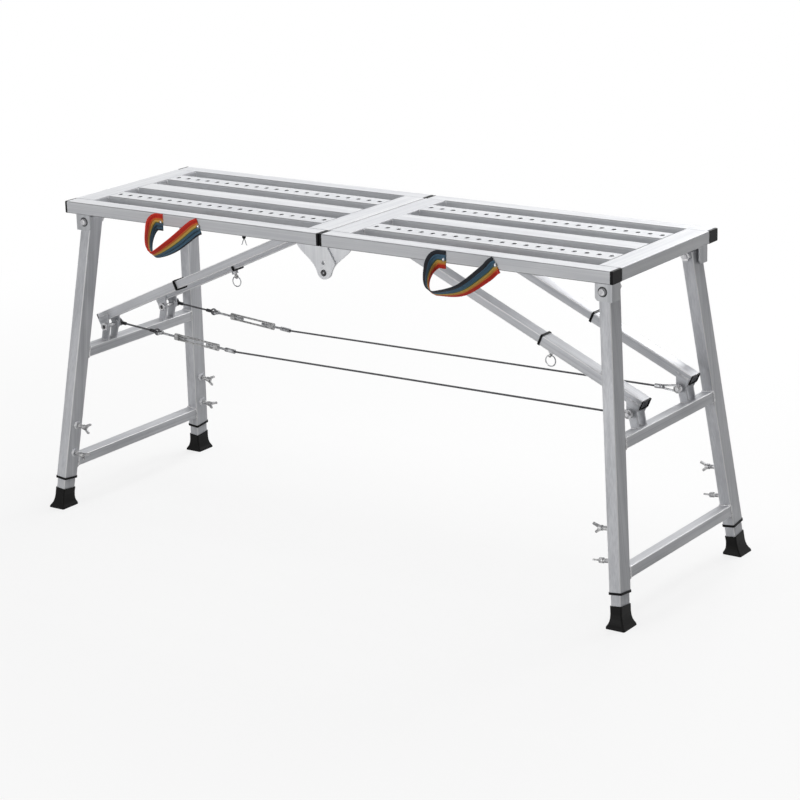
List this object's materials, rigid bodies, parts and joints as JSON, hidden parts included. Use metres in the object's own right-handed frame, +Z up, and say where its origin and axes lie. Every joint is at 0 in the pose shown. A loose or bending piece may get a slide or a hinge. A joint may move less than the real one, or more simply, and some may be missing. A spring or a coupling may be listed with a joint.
{
  "type": "folding work platform",
  "caption": "Folding steel work platform: two hinged slatted deck halves on splayed leg frames with telescopic struts, adjustable feet, tie wires and webbing handles.",
  "frame": {"origin": "floor point under the middle of the deck", "axes": "+X along the deck to the right of the picture, -Y the front with the handles, +Z up"},
  "size_m": [1.406, 0.508, 0.66],
  "materials": {
    "deck_steel": "bright zinc-plated steel tube",
    "leg_steel": "zinc-plated steel tube",
    "inner_steel": "drawn steel tube",
    "hinge_steel": "zinc-plated pressed plate",
    "zinc_fastener": "zinc-plated fastener",
    "bright_wire": "bright steel wire and rod",
    "black_plastic": "moulded black plastic",
    "foot_rubber": "moulded black rubber",
    "left_webbing": "striped woven webbing",
    "right_webbing": "striped woven webbing"
  },
  "bodies": {
    "left_deck": {"left_side_rails": "deck_steel", "left_cross_rails": "deck_steel", "left_perforated_slats": "deck_steel", "left_centre_slat": "deck_steel", "left_rail_caps": "black_plastic", "left_hinge_plates": "hinge_steel", "left_leg_brackets": "hinge_steel", "left_leg_pivot_bolts": "zinc_fastener", "left_strut_brackets": "hinge_steel", "left_handle": "left_webbing", "hinge_bolts": "zinc_fastener"},
    "left_legs": {"left_leg_tubes": "leg_steel", "left_crossbars": "leg_steel", "left_leg_collars": "black_plastic", "left_lug_pins": "zinc_fastener"},
    "left_rear_extension": {"left_rear_leg_extension": "inner_steel", "left_rear_foot": "foot_rubber"},
    "left_rear_upper_wing": {"left_rear_upper_wing_bolt": "zinc_fastener"},
    "left_rear_lower_wing": {"left_rear_lower_wing_bolt": "zinc_fastener"},
    "left_front_extension": {"left_front_leg_extension": "inner_steel", "left_front_foot": "foot_rubber"},
    "left_front_upper_wing": {"left_front_upper_wing_bolt": "zinc_fastener"},
    "left_front_lower_wing": {"left_front_lower_wing_bolt": "zinc_fastener"},
    "left_strut_outer": {"left_strut_outer_tubes": "leg_steel", "left_strut_collars": "black_plastic"},
    "left_strut_inner": {"left_strut_inner_tubes": "inner_steel"},
    "left_latch": {"left_latch_pin": "zinc_fastener"},
    "left_ring": {"left_latch_ring": "bright_wire"},
    "right_deck": {"right_side_rails": "deck_steel", "right_cross_rails": "deck_steel", "right_perforated_slats": "deck_steel", "right_centre_slat": "deck_steel", "right_rail_caps": "black_plastic", "right_hinge_plates": "hinge_steel", "right_leg_brackets": "hinge_steel", "right_leg_pivot_bolts": "zinc_fastener", "right_strut_brackets": "hinge_steel", "right_handle": "right_webbing"},
    "right_legs": {"right_leg_tubes": "leg_steel", "right_crossbars": "leg_steel", "right_leg_collars": "black_plastic", "right_lug_pins": "zinc_fastener"},
    "right_front_extension": {"right_front_leg_extension": "inner_steel", "right_front_foot": "foot_rubber"},
    "right_front_upper_wing": {"right_front_upper_wing_bolt": "zinc_fastener"},
    "right_front_lower_wing": {"right_front_lower_wing_bolt": "zinc_fastener"},
    "right_rear_extension": {"right_rear_leg_extension": "inner_steel", "right_rear_foot": "foot_rubber"},
    "right_rear_upper_wing": {"right_rear_upper_wing_bolt": "zinc_fastener"},
    "right_rear_lower_wing": {"right_rear_lower_wing_bolt": "zinc_fastener"},
    "right_strut_outer": {"right_strut_outer_tubes": "leg_steel", "right_strut_collars": "black_plastic"},
    "right_strut_inner": {"right_strut_inner_tubes": "inner_steel"},
    "right_latch": {"right_latch_pin": "zinc_fastener"},
    "right_ring": {"right_latch_ring": "bright_wire"},
    "left_tie": {"tie_eye_bolts": "bright_wire", "tie_wires": "bright_wire"},
    "front_turnbuckle_body": {"front_turnbuckle": "zinc_fastener"},
    "rear_turnbuckle_body": {"rear_turnbuckle": "zinc_fastener"},
    "right_tie": {"wire_end_loops": "bright_wire"}
  },
  "joints": [
    {"name": "centre_fold", "type": "hinge", "parent": "left_deck", "child": "right_deck", "pos_m": [0, 0, 0.58], "axis": [0, -1, 0], "range_deg": [-80, 0]},
    {"name": "left_leg_fold", "type": "hinge", "parent": "left_deck", "child": "left_legs", "pos_m": [-0.618, 0, 0.615], "axis": [0, -1, 0], "range_deg": [0, 90], "deforming": ["tie_wires"]},
    {"name": "left_strut_turn", "type": "hinge", "parent": "left_legs", "child": "left_strut_outer", "pos_m": [-0.63757, 0, 0.37274], "axis": [0, 1, 0], "range_deg": [0, 113.48]},
    {"name": "left_strut_slide", "type": "slide", "parent": "left_strut_outer", "child": "left_strut_inner", "axis": [-0.9118, 0, -0.4107], "range_m": [0, 0.3197]},
    {"name": "left_latch_pull", "type": "slide", "parent": "left_strut_outer", "child": "left_latch", "axis": [0.4107, 0, -0.9118], "range_m": [0, 0.008], "stiffness_N_per_m": 300, "springref_m": -0.006},
    {"name": "left_ring_swing", "type": "hinge", "parent": "left_latch", "child": "left_ring", "pos_m": [-0.44295, 0.095, 0.45931], "axis": [0.9118, 0, 0.4107], "range_deg": [-45, 45]},
    {"name": "left_rear_leg_extend", "type": "slide", "parent": "left_legs", "child": "left_rear_extension", "axis": [0.1043, -0.1204, 0.9872], "range_m": [-0.18, 0]},
    {"name": "left_rear_upper_wing_turn", "type": "hinge", "parent": "left_legs", "child": "left_rear_upper_wing", "pos_m": [-0.65155, 0.20805, 0.17869], "axis": [0.9945, 0, -0.1051], "continuous": true},
    {"name": "left_rear_lower_wing_turn", "type": "hinge", "parent": "left_legs", "child": "left_rear_lower_wing", "pos_m": [-0.65789, 0.21537, 0.11869], "axis": [0.9945, 0, -0.1051], "continuous": true},
    {"name": "left_front_leg_extend", "type": "slide", "parent": "left_legs", "child": "left_front_extension", "axis": [0.1043, 0.1204, 0.9872], "range_m": [-0.18, 0]},
    {"name": "left_front_upper_wing_turn", "type": "hinge", "parent": "left_legs", "child": "left_front_upper_wing", "pos_m": [-0.65155, -0.20805, 0.17869], "axis": [0.9945, 0, -0.1051], "continuous": true},
    {"name": "left_front_lower_wing_turn", "type": "hinge", "parent": "left_legs", "child": "left_front_lower_wing", "pos_m": [-0.65789, -0.21537, 0.11869], "axis": [0.9945, 0, -0.1051], "continuous": true},
    {"name": "right_leg_fold", "type": "hinge", "parent": "right_deck", "child": "right_legs", "pos_m": [0.618, 0, 0.615], "axis": [0, 1, 0], "range_deg": [0, 90]},
    {"name": "right_strut_turn", "type": "hinge", "parent": "right_legs", "child": "right_strut_outer", "pos_m": [0.63757, 0, 0.37274], "axis": [0, -1, 0], "range_deg": [0, 113.48]},
    {"name": "right_strut_slide", "type": "slide", "parent": "right_strut_outer", "child": "right_strut_inner", "axis": [0.9118, 0, -0.4107], "range_m": [0, 0.3197]},
    {"name": "right_latch_pull", "type": "slide", "parent": "right_strut_outer", "child": "right_latch", "axis": [-0.4107, 0, -0.9118], "range_m": [0, 0.008], "stiffness_N_per_m": 300, "springref_m": -0.006},
    {"name": "right_ring_swing", "type": "hinge", "parent": "right_latch", "child": "right_ring", "pos_m": [0.45481, -0.095, 0.45397], "axis": [-0.9118, 0, 0.4107], "range_deg": [-45, 45]},
    {"name": "right_front_leg_extend", "type": "slide", "parent": "right_legs", "child": "right_front_extension", "axis": [-0.1043, 0.1204, 0.9872], "range_m": [-0.18, 0]},
    {"name": "right_front_upper_wing_turn", "type": "hinge", "parent": "right_legs", "child": "right_front_upper_wing", "pos_m": [0.65155, -0.20805, 0.17869], "axis": [-0.9945, 0, -0.1051], "continuous": true},
    {"name": "right_front_lower_wing_turn", "type": "hinge", "parent": "right_legs", "child": "right_front_lower_wing", "pos_m": [0.65789, -0.21537, 0.11869], "axis": [-0.9945, 0, -0.1051], "continuous": true},
    {"name": "right_rear_leg_extend", "type": "slide", "parent": "right_legs", "child": "right_rear_extension", "axis": [-0.1043, -0.1204, 0.9872], "range_m": [-0.18, 0]},
    {"name": "right_rear_upper_wing_turn", "type": "hinge", "parent": "right_legs", "child": "right_rear_upper_wing", "pos_m": [0.65155, 0.20805, 0.17869], "axis": [-0.9945, 0, -0.1051], "continuous": true},
    {"name": "right_rear_lower_wing_turn", "type": "hinge", "parent": "right_legs", "child": "right_rear_lower_wing", "pos_m": [0.65789, 0.21537, 0.11869], "axis": [-0.9945, 0, -0.1051], "continuous": true},
    {"name": "left_tie_level", "type": "hinge", "parent": "left_legs", "child": "left_tie", "pos_m": [-0.63757, 0, 0.37274], "axis": [0, 1, 0], "range_deg": [0, 87.31]},
    {"name": "right_tie_level", "type": "hinge", "parent": "right_legs", "child": "right_tie", "pos_m": [0.63757, 0, 0.37274], "axis": [0, -1, 0], "range_deg": [0, 70.01]},
    {"name": "front_turnbuckle_turn", "type": "hinge", "parent": "left_tie", "child": "front_turnbuckle_body", "pos_m": [-0.4262, -0.069, 0.35648], "axis": [0.9971, 0, -0.0767], "continuous": true},
    {"name": "rear_turnbuckle_turn", "type": "hinge", "parent": "left_tie", "child": "rear_turnbuckle_body", "pos_m": [-0.4262, 0.121, 0.35648], "axis": [0.9971, 0, -0.0767], "continuous": true}
  ],
  "couplings": [
    {"joint": "left_strut_turn", "follows": "left_leg_fold", "ratio": 1.2598},
    {"joint": "left_strut_slide", "follows": "left_leg_fold", "m_per_rad": 0.20342},
    {"joint": "right_leg_fold", "follows": "left_leg_fold", "ratio": 1},
    {"joint": "right_strut_turn", "follows": "left_leg_fold", "ratio": 1.2598},
    {"joint": "right_strut_slide", "follows": "left_leg_fold", "m_per_rad": 0.20342},
    {"joint": "left_tie_level", "follows": "left_leg_fold", "ratio": 0.97},
    {"joint": "right_tie_level", "follows": "left_leg_fold", "ratio": 0.77778}
  ]
}
